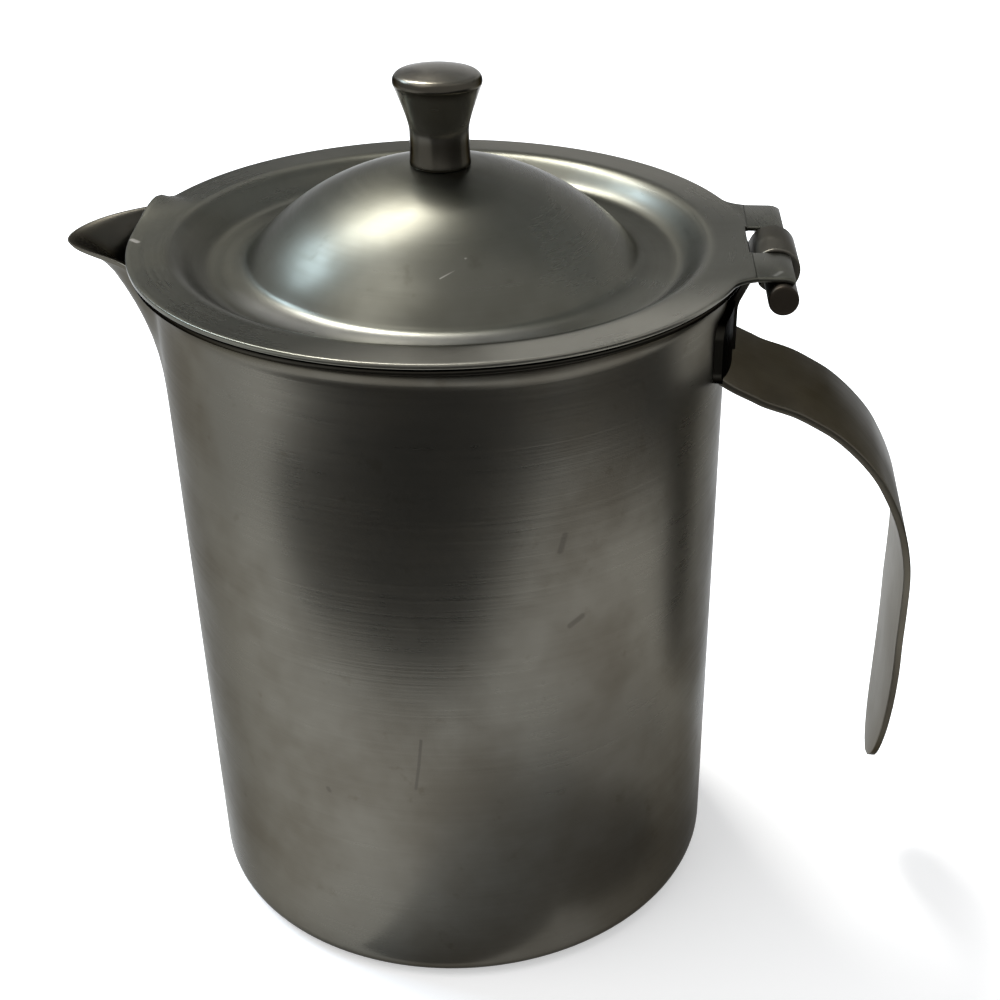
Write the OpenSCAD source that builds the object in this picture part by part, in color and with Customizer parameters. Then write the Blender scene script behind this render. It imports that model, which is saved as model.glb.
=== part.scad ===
// Hot milk jug with a hinged lid, all in stainless sheet.
// Origin at the centre of the flat base, +Z up, spout towards -X, hinge and handle towards +X.

/* [Jug body] */
// Outside diameter of the straight wall
body_d = 88.4; // [80:1:100]
// Height of the rim's top face above the base
body_h = 113.4; // [108:0.1:125]
// Thickness of the drawn sheet
wall = 0.8; // [0.6:0.1:1]
// Outside radius of the corner at the base
base_round = 3.5; // [2.5:0.5:6]
// Width that the rim turns out beyond the wall
rim_out = 3; // [2.6:0.1:3.6]
// Height below the rim over which the wall turns out
rim_flare = 3.8; // [3:0.1:6]

/* [Spout] */
// Length that the spout's ridge is drawn out beyond the wall
spout_out = 11.5; // [8:0.5:13]
// Depth of the spout below the rim
spout_depth = 29; // [20:1:40]
// Angle each side of the ridge over which the spout blends into the wall
spout_angle = 20.6; // [16:0.2:26]

/* [Lid] */
// Width that the lid's flange stands out beyond the rim
lid_over = 0.3; // [0:0.1:1]
// Thickness of the pressed lid
lid_wall = 0.8; // [0.6:0.1:1]
// Running gap between the rim and the closed lid
lid_gap = 0.3; // [0.2:0.05:0.5]
// Width of the flat flange
flange_w = 5.4; // [5:0.1:7]
// Depth of the groove below the flange
groove_depth = 3.5; // [3.2:0.1:3.8]
// Distance from the flange's inner edge to the middle of the groove's floor
groove_in = 6.6; // [6.3:0.1:6.9]
// Distance from the middle of the groove's floor to the foot of the dome
dome_in = 5.8; // [5.2:0.2:6.6]
// Height of the dome's foot above the groove's floor
dome_foot_h = 1.1; // [0.8:0.1:2]
// Height of the dome's flat top above the flange
dome_h = 11; // [9:0.1:13]
// Radius of the flat seat for the knob
seat_r = 5; // [4.8:0.1:6.5]

/* [Hinge] */
// Angle by which the hinge stands round the jug from the line of spout and handle
hinge_turn = 2.6; // [0:0.1:4]
// Distance of the pin's axis out from the rim
pin_out = 4; // [3.9:0.1:4.6]
// Drop of the pin's axis below the lid's top face
pin_drop = 3.1; // [2.9:0.1:3.2]
// Diameter of the hinge pin
pin_d = 4.6; // [4:0.1:4.6]
// Length by which the pin stands out past each finger
pin_proud = 1.3; // [0:0.1:1.5]
// Width of the lid's tab across both fingers
tab_w = 31.4; // [28:0.1:32]
// Width of the tab where it leaves the flange
tab_root_w = 33.4; // [32.4:0.1:37]
// Angle past the top at which the fingers end on the pin
finger_wrap = 35; // [25:5:80]
// Width of the middle knuckle
tongue_w = 10.4; // [8:0.1:11]
// Gap at each side of the middle knuckle
side_gap = 0.35; // [0.2:0.05:0.6]
// Radial clearance of the middle knuckle on the pin
pin_clear = 0.05; // [0.02:0.01:0.1]
// Interference of the pin under the lid's fingers
pin_press = 0.02; // [0.01:0.01:0.03]
// Distance from the pin's axis in to the end of the slot in the tab
slot_in = 4.4; // [4.3:0.1:4.7]

/* [Hinge leaf] */
// Thickness of the leaf
leaf_t = 1.2; // [1:0.1:1.2]
// Width of the leaf on the wall
leaf_w = 26; // [24:0.5:30]
// Distance of the leaf's lower edge below the rim
leaf_drop = 17; // [16.4:0.2:19]
// Height of the leaf's welded pad
leaf_h = 10; // [8.5:0.5:10.5]
// Radius of the pad's corners
leaf_corner = 1.8; // [1:0.2:3]
// Angle from upright at which the tongue leans out to the pin
tongue_lean = 26; // [24:1:28]
// Bend radius of the tongue where it leaves the wall
tongue_bend = 5; // [4:0.5:6]
// Length of flat sheet between the tongue's upper bend and the top of its roll
tongue_flat = 0.3; // [0:0.1:0.4]
// Angle between the tongue and the end of its roll
roll_open = 40; // [35:1:60]

/* [Handle] */
// Reach of the handle's back out from the wall
handle_out = 32.4; // [28:0.1:45]
// Height of the handle's free tip above the base
handle_tip_z = 18.5; // [14:0.5:30]
// Width of the handle strap
handle_w = 24; // [18:0.5:25]
// Thickness of the handle strap
handle_t = 1.2; // [1:0.1:1.6]
// Length of the rounded free end
handle_end = 30; // [14:1:34]

/* [Knob] */
// Height of the knob
knob_h = 14.5; // [13:0.1:16]
// Diameter of the knob's head
knob_d = 13.3; // [11:0.1:15]
// Diameter of the knob's waist
knob_waist_d = 9; // [8.4:0.1:9.6]
// Diameter of the knob's foot
knob_foot_d = 9.2; // [8.8:0.1:9.6]
// Height of the knob's domed crown above its rim
knob_crown = 1.5; // [0.8:0.1:2]
// Radius of the rounded edge round the head
knob_edge = 0.6; // [0.4:0.1:0.9]
// Height of the waist above the foot
waist_h = 5.2; // [4:0.2:6]

/* [Knob screw] */
// Diameter of the screw's thread
screw_d = 4; // [3.5:0.1:4.4]
// Length of thread inside the knob
screw_grip = 7; // [5:0.5:9]
// Space left past the screw's end in the knob
screw_spare = 1; // [0.5:0.1:2]
// Interference between the thread and the knob
thread_press = 0.02; // [0.01:0.01:0.03]
// Radial clearance of the screw in the lid and washer
screw_clear = 0.2; // [0.1:0.05:0.3]
// Diameter of the screw's head
head_d = 7.2; // [6.6:0.1:8]
// Height of the screw's head
head_h = 2.4; // [2:0.1:3]
// Width of the screwdriver slot
slot_w = 1.1; // [0.8:0.1:1.4]
// Depth of the screwdriver slot
slot_deep = 1.1; // [0.8:0.1:1.3]
// Diameter of the washer
washer_d = 9; // [8.4:0.1:10]
// Thickness of the washer
washer_t = 0.8; // [0.5:0.1:1]

/* [Hidden] */

// Overrun of every cut
over = 1;
// Heights and radii that several pieces share
body_r = body_d / 2;
rim_r = body_r + rim_out;
lid_r = rim_r + lid_over;
lid_top = body_h + lid_gap + lid_wall;
pin_r = pin_d / 2;
pin_x = rim_r + pin_out;
pin_z = lid_top - pin_drop;
slot_x = pin_x - slot_in;
finger_in = pin_r - pin_press;
finger_out = finger_in + lid_wall;
tongue_in = pin_r + pin_clear;
tongue_out = tongue_in + leaf_t;
leaf_z = body_h - leaf_drop;
leaf_top = leaf_z + leaf_h;
handle_reach = body_r + handle_out;
seat_z = lid_top + dome_h;
spout_z = body_h - spout_depth;
spout_rise = spout_depth;

// Facet counts of the curved sections
arc_n = 5;
flare_n = 7;
spout_rows = 11;
spout_cols = 20;
wall_cols = 60;
bezier_n = 10;
dome_n = 14;
round_fn = 96;

// A point list for an arc about c from angle a0 to a1
function arc(c, r, a0, a1, n) =
    [for (i = [0:n]) let (a = a0 + (a1 - a0) * i / n) c + r * [cos(a), sin(a)]];

// A point list for a cubic curve
function cubic(p, q, r, s, n) =
    [for (i = [0:n]) let (t = i / n, u = 1 - t)
        u * u * u * p + 3 * u * u * t * q + 3 * u * t * t * r + t * t * t * s];

// The unit normal to the left of a path at point i
function unit(v) = v / norm(v);
function left_of(p, i) =
    let (a = p[max(i - 1, 0)], b = p[min(i + 1, len(p) - 1)], d = unit(b - a)) [-d[1], d[0]];

// The path moved sideways by d, which is positive to the left
function beside(p, d) = [for (i = [0:len(p) - 1]) p[i] + d * left_of(p, i)];

// The closed outline of a sheet of thickness t along its middle line
function strip(p, t) = concat(beside(p, t / 2), reversed(beside(p, -t / 2)));
function reversed(p) = [for (i = [len(p) - 1:-1:0]) p[i]];

// Section of the jug's wall as radius and height, from the centre underneath
// round the outside, over the rim and down the inside to the centre of the floor
rim_under = body_h - wall;
wall_zs = [for (i = [1:3]) base_round + (spout_z - base_round) * i / 3];
spout_zs = [for (i = [1:spout_rows])
    spout_z + (rim_under - rim_flare - spout_z) * i / spout_rows];
flare_pull_share = [0.6, 0.5];
flare_path = cubic(
    [body_r, rim_under - rim_flare],
    [body_r, rim_under - (1 - flare_pull_share[0]) * rim_flare],
    [rim_r - flare_pull_share[1] * rim_out, rim_under],
    [rim_r, rim_under], flare_n);
inner_round = base_round - wall;
outer_side = concat(
    arc([body_r - base_round, base_round], base_round, -90, 0, arc_n),
    [for (z = wall_zs) [body_r, z]],
    [for (z = spout_zs) [body_r, z]],
    [for (i = [1:flare_n]) flare_path[i]]);
inner_side = concat(
    reversed(beside(flare_path, wall)),
    [for (i = [spout_rows - 2:-1:0]) [body_r - wall, spout_zs[i]]],
    [for (z = reversed(wall_zs)) [body_r - wall, z]],
    arc([body_r - base_round, base_round], inner_round, 0, -90, arc_n));
section = concat(outer_side, inner_side);

// How far the spout is drawn out at an angle from its ridge and a height
function spout_share(a, z) =
    z <= spout_z || abs(a) >= spout_angle ? 0
    : pow(min(1, (z - spout_z) / spout_rise), 2) * pow(cos(90 * a / spout_angle), 2);

// Angles of the wall's columns, counted from the ridge: close together over the spout
columns = concat(
    [for (i = [0:spout_cols - 1]) spout_angle * (2 * i / spout_cols - 1)],
    [for (i = [0:wall_cols - 1])
        spout_angle + (360 - 2 * spout_angle) * i / wall_cols]);

function wall_point(p, a) =
    let (r = p[0] + spout_out * spout_share(a, p[1]))
    [-r * cos(a), r * sin(a), p[1]];

module vessel() {
    m = len(section);
    n = len(columns);
    ring_points = [for (a = columns) for (p = section) wall_point(p, a)];
    centre_under = m * n;
    centre_floor = m * n + 1;
    sides = [for (j = [0:n - 1]) for (i = [0:m - 2])
        let (k = (j + 1) % n, a = j * m + i, b = j * m + i + 1, c = k * m + i + 1, d = k * m + i)
        each [[a, b, c], [a, c, d]]];
    under = [for (j = [0:n - 1]) [centre_under, j * m, ((j + 1) % n) * m]];
    floor_fan = [for (j = [0:n - 1]) [centre_floor, ((j + 1) % n) * m + m - 1, j * m + m - 1]];
    color([0.42, 0.41, 0.39])
        polyhedron(
            points = concat(ring_points, [[0, 0, 0], [0, 0, wall]]),
            faces = concat(sides, under, floor_fan));
}

// Middle line of the tongue: up the wall, leaning out, then bent over to the top of the pin
tongue_x = body_r + leaf_t / 2;
roll_r = tongue_in + leaf_t / 2;
roll_bend = [pin_x - tongue_flat, pin_z];
lean_run = (roll_bend[0] - roll_r * cos(tongue_lean) - tongue_x
    - tongue_bend * (1 - cos(tongue_lean))) / sin(tongue_lean);
tongue_start_z = pin_z + (roll_r - tongue_bend) * sin(tongue_lean) - lean_run * cos(tongue_lean);
tongue_path = concat(
    [[tongue_x, leaf_z + leaf_t]],
    arc([tongue_x + tongue_bend, tongue_start_z], tongue_bend, 180, 180 - tongue_lean, arc_n),
    arc(roll_bend, roll_r, 180 - tongue_lean, 90, dome_n),
    [[pin_x, pin_z + roll_r]]);

// Outline of the pad seen from behind
pad_y = leaf_w / 2 - leaf_corner;
pad_outline = concat(
    arc([-pad_y, leaf_z + leaf_corner], leaf_corner, 180, 270, arc_n),
    arc([pad_y, leaf_z + leaf_corner], leaf_corner, 270, 360, arc_n),
    arc([pad_y, leaf_top - leaf_corner], leaf_corner, 0, 90, arc_n),
    arc([-pad_y, leaf_top - leaf_corner], leaf_corner, 90, 180, arc_n));

// Angle of the top of the pin, counted from +X
top_at = 90;

module across(w) {
    rotate([90, 0, 0])
        translate([0, 0, -w / 2])
            linear_extrude(w) children();
}

// A sheet rolled round the pin, open over the wedge between two angles
module knuckle(r_in, r_out, w, open_from, open_to) {
    across(w)
        difference() {
            circle(r_out, $fn = round_fn);
            circle(r_in, $fn = round_fn);
            polygon(concat([[0, 0]], arc([0, 0], 2 * r_out, open_from, open_to, arc_n)));
        }
}

module hinge_leaf() {
    color([0.36, 0.35, 0.33])
        union() {
            intersection() {
                difference() {
                    translate([0, 0, leaf_z]) cylinder(h = leaf_h, r = body_r + leaf_t, $fn = round_fn);
                    translate([0, 0, leaf_z - over])
                        cylinder(h = leaf_h + 2 * over, r = body_r, $fn = round_fn);
                }
                rotate([90, 0, 90]) linear_extrude(body_r + 2 * leaf_t) polygon(pad_outline);
            }
            rotate([0, 0, hinge_turn])
                difference() {
                    across(tongue_w) polygon(strip(tongue_path, leaf_t));
                    translate([pin_x, 0, pin_z])
                        rotate([90, 0, 0])
                            cylinder(h = tongue_w + 2 * over, r = tongue_in, center = true,
                                $fn = round_fn);
                }
            rotate([0, 0, hinge_turn])
                translate([pin_x, 0, pin_z])
                    knuckle(tongue_in, tongue_out, tongue_w, top_at, 180 + roll_open);
        }
}

// Middle line of the handle strap: out and down from the leaf, over the shoulder and down the back.
// Each pair is a share of the reach from the wall to the back and of the drop from root to tip.
handle_shares = [
    [0.000, 0.000], [0.041, 0.016], [0.100, 0.033], [0.192, 0.053], [0.346, 0.073],
    [0.457, 0.095], [0.564, 0.121], [0.679, 0.161], [0.776, 0.205], [0.841, 0.247],
    [0.897, 0.292], [0.942, 0.340], [0.976, 0.396], [0.992, 0.450], [0.996, 0.525],
    [0.996, 0.601], [1.000, 0.680], [0.998, 0.760], [0.990, 0.842], [0.980, 0.905],
    [0.964, 1.000]];
back_x = handle_reach - handle_t / 2;
root = [body_r, leaf_z + leaf_t];
handle_drop = root[1] - handle_tip_z + over;
handle_knots = [for (s = handle_shares)
    [root[0] + (back_x - root[0]) * s[0], root[1] - handle_drop * s[1]]];

// Smooth curve through a list of points, n steps from each to the next
function through(p, n) = concat(
    [for (i = [0:len(p) - 2]) for (k = [0:n - 1])
        let (a = p[max(i - 1, 0)], b = p[i], c = p[i + 1], d = p[min(i + 2, len(p) - 1)], t = k / n)
            b + t * (c - a) / 2 + t * t * (a - b * 5 / 2 + c * 2 - d / 2)
                + t * t * t * (b * 3 - a - c * 3 + d) / 2],
    [p[len(p) - 1]]);
handle_path = through(handle_knots, 3);

// Outline of the strap seen from behind, with its free end rounded off
handle_outline = concat(
    [for (i = [0:2 * bezier_n]) let (a = 180 + 180 * i / (2 * bezier_n))
        [handle_w / 2 * cos(a), handle_tip_z + handle_end + handle_end * sin(a)]],
    [[handle_w / 2, leaf_top], [-handle_w / 2, leaf_top]]);

module handle() {
    color([0.33, 0.31, 0.28])
        difference() {
            intersection() {
                across(handle_w + 2 * over) polygon(strip(handle_path, handle_t));
                rotate([90, 0, 90]) linear_extrude(handle_reach + over) polygon(handle_outline);
            }
            translate([0, 0, leaf_z - leaf_h])
                cylinder(h = 3 * leaf_h, r = body_r + leaf_t, $fn = round_fn);
        }
}

module hinge_pin() {
    color([0.3, 0.29, 0.27])
        rotate([0, 0, hinge_turn])
            translate([pin_x, 0, pin_z])
                rotate([90, 0, 0])
                    cylinder(h = tab_w + 2 * pin_proud, r = pin_r, center = true, $fn = round_fn);
}

// Upper face of the lid from its edge to the knob's seat
flange_r = lid_r - flange_w;
groove_r = flange_r - groove_in;
dome_r = groove_r - dome_in;
foot_z = lid_top - groove_depth;
dome_top = lid_top + dome_h;
step_share = 0.45;
foot_share = 0.55;
dome_foot_z = foot_z + dome_foot_h;
ball_z = (dome_r * dome_r + dome_foot_z * dome_foot_z - seat_r * seat_r - dome_top * dome_top)
    / (dome_foot_z - dome_top) / 2;
ball_r = norm([seat_r, dome_top - ball_z]);
foot_a = acos(dome_r / ball_r);
seat_a = acos(seat_r / ball_r);
dome_foot = [dome_r, dome_foot_z];
foot_pull = foot_share * (groove_r - dome_r);
rise_pull = min(foot_pull, dome_foot_h / cos(foot_a));
lid_face = concat(
    [[lid_r, lid_top]],
    cubic([flange_r, lid_top],
        [flange_r - step_share * (flange_r - groove_r), lid_top],
        [groove_r + step_share * (flange_r - groove_r), foot_z],
        [groove_r, foot_z], bezier_n),
    [for (i = [1:bezier_n])
        cubic([groove_r, foot_z],
            [groove_r - foot_pull, foot_z],
            dome_foot + rise_pull * [sin(foot_a), -cos(foot_a)],
            dome_foot, bezier_n)[i]],
    [for (i = [1:dome_n]) arc([0, ball_z], ball_r, foot_a, seat_a, dome_n)[i]],
    [[0, dome_top]]);
lid_under = beside(lid_face, lid_wall);

// Plan of the tab that leaves the flange for the fingers
tab_neck_x = slot_x + lid_wall;
tab_root_x = sqrt(lid_r * lid_r - tab_root_w * tab_root_w / 4) - lid_wall;
tab_plan = [
    [flange_r, -tab_root_w / 2],
    [tab_root_x, -tab_root_w / 2],
    [tab_neck_x, -tab_w / 2],
    [pin_x + finger_out, -tab_w / 2],
    [pin_x + finger_out, tab_w / 2],
    [tab_neck_x, tab_w / 2],
    [tab_root_x, tab_root_w / 2],
    [flange_r, tab_root_w / 2]];
tab_section = concat(
    [[flange_r, lid_top - lid_wall], [slot_x, lid_top - lid_wall]],
    arc([pin_x, pin_z], finger_in - lid_wall, top_at, top_at - finger_wrap, arc_n),
    arc([pin_x, pin_z], finger_out, top_at - finger_wrap, top_at, dome_n),
    [[slot_x, lid_top], [flange_r, lid_top]]);

module lid() {
    color([0.45, 0.44, 0.41])
        difference() {
            union() {
                rotate_extrude($fn = round_fn)
                    polygon(concat(lid_face, reversed(lid_under)));
                rotate([0, 0, hinge_turn])
                    intersection() {
                        across(tab_root_w) polygon(tab_section);
                        linear_extrude(lid_top + dome_h) polygon(tab_plan);
                    }
            }
            rotate([0, 0, hinge_turn])
                translate([slot_x, -tongue_w / 2 - side_gap, pin_z - finger_out])
                    cube([2 * finger_out + pin_x - slot_x, tongue_w + 2 * side_gap, dome_h]);
            rotate([0, 0, hinge_turn])
                translate([pin_x, 0, pin_z])
                    rotate([90, 0, 0])
                        cylinder(h = tab_w + 2 * over, r = finger_in, center = true, $fn = round_fn);
            translate([0, 0, lid_top])
                cylinder(h = dome_h + over, r = screw_d / 2 + screw_clear, $fn = round_fn);
        }
}

// Half section of the knob
knob_r = knob_d / 2;
head_z = seat_z + knob_h - knob_crown;
knob_neck_share = 0.55;
knob_side = concat(
    [[knob_foot_d / 2, seat_z], [knob_foot_d / 2, seat_z + knob_edge]],
    cubic([knob_foot_d / 2, seat_z + knob_edge],
        [knob_waist_d / 2, seat_z + waist_h / 2],
        [knob_waist_d / 2, seat_z + waist_h / 2],
        [knob_waist_d / 2, seat_z + waist_h], arc_n),
    [for (i = [1:arc_n])
        cubic([knob_waist_d / 2, seat_z + waist_h],
            [knob_waist_d / 2, seat_z + waist_h + knob_neck_share * (knob_r - knob_waist_d / 2)],
            [knob_r - knob_neck_share * (knob_r - knob_waist_d / 2) / 2, head_z - 2 * knob_edge],
            [knob_r, head_z - knob_edge], arc_n)[i]],
    [for (i = [1:arc_n]) arc([knob_r - knob_edge, head_z - knob_edge], knob_edge, 0, 90, arc_n)[i]],
    [for (i = [1:bezier_n])
        cubic([knob_r - knob_edge, head_z],
            [knob_r / 2, head_z + knob_crown * (1 - knob_neck_share / 2)],
            [knob_r / 2, head_z + knob_crown],
            [0, head_z + knob_crown], bezier_n)[i]]);

module knob() {
    color([0.28, 0.27, 0.25])
        difference() {
            rotate_extrude($fn = round_fn)
                polygon(concat([[0, seat_z]], knob_side));
            translate([0, 0, seat_z - over])
                cylinder(h = over + screw_grip + screw_spare, r = screw_d / 2 - thread_press,
                    $fn = round_fn);
        }
}

washer_top = seat_z - lid_wall;

module knob_washer() {
    color([0.5, 0.5, 0.49])
        difference() {
            translate([0, 0, washer_top - washer_t])
                cylinder(h = washer_t, r = washer_d / 2, $fn = round_fn);
            translate([0, 0, washer_top - washer_t - over])
                cylinder(h = washer_t + 2 * over, r = screw_d / 2 + screw_clear, $fn = round_fn);
        }
}

module knob_screw() {
    head_top = washer_top - washer_t;
    color([0.5, 0.5, 0.49])
        difference() {
            union() {
                translate([0, 0, head_top - head_h])
                    cylinder(h = head_h, r = head_d / 2, $fn = round_fn);
                translate([0, 0, head_top - head_h / 2])
                    cylinder(h = head_h / 2 + washer_t + lid_wall + screw_grip, r = screw_d / 2,
                        $fn = round_fn);
            }
            translate([-head_d, -slot_w / 2, head_top - head_h - over])
                cube([2 * head_d, slot_w, slot_deep + over]);
        }
}

vessel();
hinge_leaf();
handle();
hinge_pin();
lid();
knob();
knob_screw();
knob_washer();
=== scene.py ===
import math

import bmesh
import bpy
from mathutils import Matrix, Vector


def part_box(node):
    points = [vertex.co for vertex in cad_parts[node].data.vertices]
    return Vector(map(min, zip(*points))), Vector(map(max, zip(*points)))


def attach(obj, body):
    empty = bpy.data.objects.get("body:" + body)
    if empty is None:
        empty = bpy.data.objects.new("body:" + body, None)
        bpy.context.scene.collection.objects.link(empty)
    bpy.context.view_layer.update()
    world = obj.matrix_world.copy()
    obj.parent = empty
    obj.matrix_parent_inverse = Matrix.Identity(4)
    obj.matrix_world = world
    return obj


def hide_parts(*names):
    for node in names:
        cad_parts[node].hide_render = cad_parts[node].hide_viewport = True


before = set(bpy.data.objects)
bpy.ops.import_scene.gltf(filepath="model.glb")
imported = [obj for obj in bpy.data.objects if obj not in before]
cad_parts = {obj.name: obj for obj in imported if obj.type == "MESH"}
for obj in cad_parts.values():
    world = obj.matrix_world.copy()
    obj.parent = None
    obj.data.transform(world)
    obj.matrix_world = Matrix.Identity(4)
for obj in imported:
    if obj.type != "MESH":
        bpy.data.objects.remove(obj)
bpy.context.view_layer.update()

# The jug's body is one sheet of stainless steel, deep drawn with a flat base and a small corner.
# Its rim is turned outwards, and the pouring lip is drawn out of the wall in the same press work.
MM = 0.001
body_r = 44.2 * MM
sheet_t = 0.8 * MM
base_round = 3.5 * MM
rim_out = 3.0 * MM
rim_r = body_r + rim_out
rim_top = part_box("vessel")[1][2]
rim_under = rim_top - sheet_t
flare_h = 3.8 * MM
flare_up_share = 0.6
flare_out_share = 0.5
edge_round = 0.25 * MM
spout_out = 11.5 * MM
spout_depth = 29.0 * MM
spout_foot = rim_top - spout_depth
spout_angle = 20.6
lip_dip = 0.9 * MM
wall_head = rim_under - flare_h
base_rings = (0, 8, 16, 24, 32, 38)
base_n = 10
wall_n = 44
flare_n = 14
edge_n = 4
spout_cols = 56
round_cols = 150


def cubic(p, q, r, s, n):
    """Points of a cubic curve from p to s, as (across, up) pairs."""
    out = []
    for i in range(n + 1):
        t = i / n
        u = 1 - t
        w = (u * u * u, 3 * u * u * t, 3 * u * t * t, t * t * t)
        out.append(tuple(w[0] * p[k] + w[1] * q[k] + w[2] * r[k] + w[3] * s[k] for k in (0, 1)))
    return out


def arc(centre, radius, start, end, n):
    """Points of an arc, angles in degrees."""
    turns = [math.radians(start + (end - start) * i / n) for i in range(n + 1)]
    return [(centre[0] + radius * math.cos(a), centre[1] + radius * math.sin(a)) for a in turns]


def beside(path, d):
    """The path moved to its left by d."""
    out = []
    for i, p in enumerate(path):
        a = path[max(i - 1, 0)]
        b = path[min(i + 1, len(path) - 1)]
        dx, dz = b[0] - a[0], b[1] - a[1]
        size = math.hypot(dx, dz)
        out.append((p[0] - dz / size * d, p[1] + dx / size * d))
    return out


def add_piece(name, verts, faces, body, material, sharp=32.0):
    """A closed smooth mesh that rides on a body of the jug; edges over the sharp angle stay crisp."""
    weld = 1e-7
    mesh = bpy.data.meshes.new(name)
    bm = bmesh.new()
    made = [bm.verts.new(v) for v in verts]
    for f in faces:
        if len(set(f)) > 2:
            bm.faces.new([made[i] for i in f])
    bmesh.ops.remove_doubles(bm, verts=bm.verts, dist=weld)
    bmesh.ops.recalc_face_normals(bm, faces=bm.faces)
    bm.to_mesh(mesh)
    bm.free()
    mesh.shade_smooth()
    mesh.set_sharp_from_angle(angle=math.radians(sharp))
    piece = bpy.data.objects.new(name, mesh)
    bpy.context.scene.collection.objects.link(piece)
    piece.data.materials.append(material)
    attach(piece, body)
    return piece


def wrap_rows(n_rows, n_cols, closed_rows=False):
    """Faces of a net whose columns close on themselves; vertex = column * n_rows + row."""
    last = n_rows if closed_rows else n_rows - 1
    faces = []
    for j in range(n_cols):
        k = (j + 1) % n_cols
        for i in range(last):
            m = (i + 1) % n_rows
            faces.append((j * n_rows + i, j * n_rows + m, k * n_rows + m, k * n_rows + i))
    return faces


class Wiring:
    """Adds shader nodes to one material and joins them."""

    def __init__(self, name):
        self.material = bpy.data.materials.new(name)
        self.material.use_nodes = True
        self.nodes = self.material.node_tree.nodes
        self.links = self.material.node_tree.links
        self.shader = self.nodes["Principled BSDF"]
        here = self.nodes.new("ShaderNodeTexCoord")
        self.place = here.outputs["Object"]
        self.facing = here.outputs["Normal"]

    def _feed(self, socket, value):
        if hasattr(value, "is_output"):
            self.links.new(value, socket)
        else:
            socket.default_value = value

    def math(self, kind, a, b=0.0, c=0.0):
        node = self.nodes.new("ShaderNodeMath")
        node.operation = kind
        for socket, value in zip(node.inputs, (a, b, c)):
            self._feed(socket, value)
        return node.outputs[0]

    def vector(self, kind, a, b=(0, 0, 0), out="Vector"):
        node = self.nodes.new("ShaderNodeVectorMath")
        node.operation = kind
        self._feed(node.inputs[0], a)
        self._feed(node.inputs[1], b)
        return node.outputs[out]

    def parts(self, vector):
        node = self.nodes.new("ShaderNodeSeparateXYZ")
        self._feed(node.inputs[0], vector)
        return node.outputs

    def join(self, x, y, z):
        node = self.nodes.new("ShaderNodeCombineXYZ")
        for socket, value in zip(node.inputs, (x, y, z)):
            self._feed(socket, value)
        return node.outputs[0]

    def noise(self, vector, scale, detail=2.0, rough=0.5):
        node = self.nodes.new("ShaderNodeTexNoise")
        self._feed(node.inputs["Vector"], vector)
        node.inputs["Scale"].default_value = scale
        node.inputs["Detail"].default_value = detail
        node.inputs["Roughness"].default_value = rough
        return node.outputs["Fac"]

    def span(self, value, low, high, to_low, to_high):
        """Leads smoothly from one value to another while the given value goes from low to high."""
        node = self.nodes.new("ShaderNodeMapRange")
        node.interpolation_type = "SMOOTHSTEP"
        for key, given in (("Value", value), ("From Min", low), ("From Max", high),
                           ("To Min", to_low), ("To Max", to_high)):
            self._feed(node.inputs[key], given)
        return node.outputs["Result"]

    def blend(self, share, a, b):
        node = self.nodes.new("ShaderNodeMix")
        node.data_type = "RGBA"
        self._feed(node.inputs["Factor"], share)
        self._feed(node.inputs["A"], a)
        self._feed(node.inputs["B"], b)
        return node.outputs["Result"]

    def bump(self, height, depth, normal=None):
        node = self.nodes.new("ShaderNodeBump")
        node.inputs["Strength"].default_value = 1.0
        node.inputs["Distance"].default_value = depth
        self._feed(node.inputs["Height"], height)
        if normal is not None:
            self._feed(node.inputs["Normal"], normal)
        return node.outputs["Normal"]


def tone(r, g, b):
    return (r, g, b, 1.0)


def near_line(w, start, end, width):
    """1 on the line between two points of the piece, falling to 0 at the width beside it."""
    core = 0.35 * width
    start, end = Vector(start) * MM, Vector(end) * MM
    reach = (end - start).length
    way = (end - start) / reach
    off = w.vector("SUBTRACT", w.place, tuple(start))
    along = w.math("MAXIMUM", w.vector("DOT_PRODUCT", off, tuple(way), "Value"), 0.0)
    along = w.math("MINIMUM", along, reach)
    foot = w.join(*(w.math("MULTIPLY", along, way[k]) for k in range(3)))
    return w.span(w.vector("DISTANCE", off, foot, "Value"), core, width, 1.0, 0.0)


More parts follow.
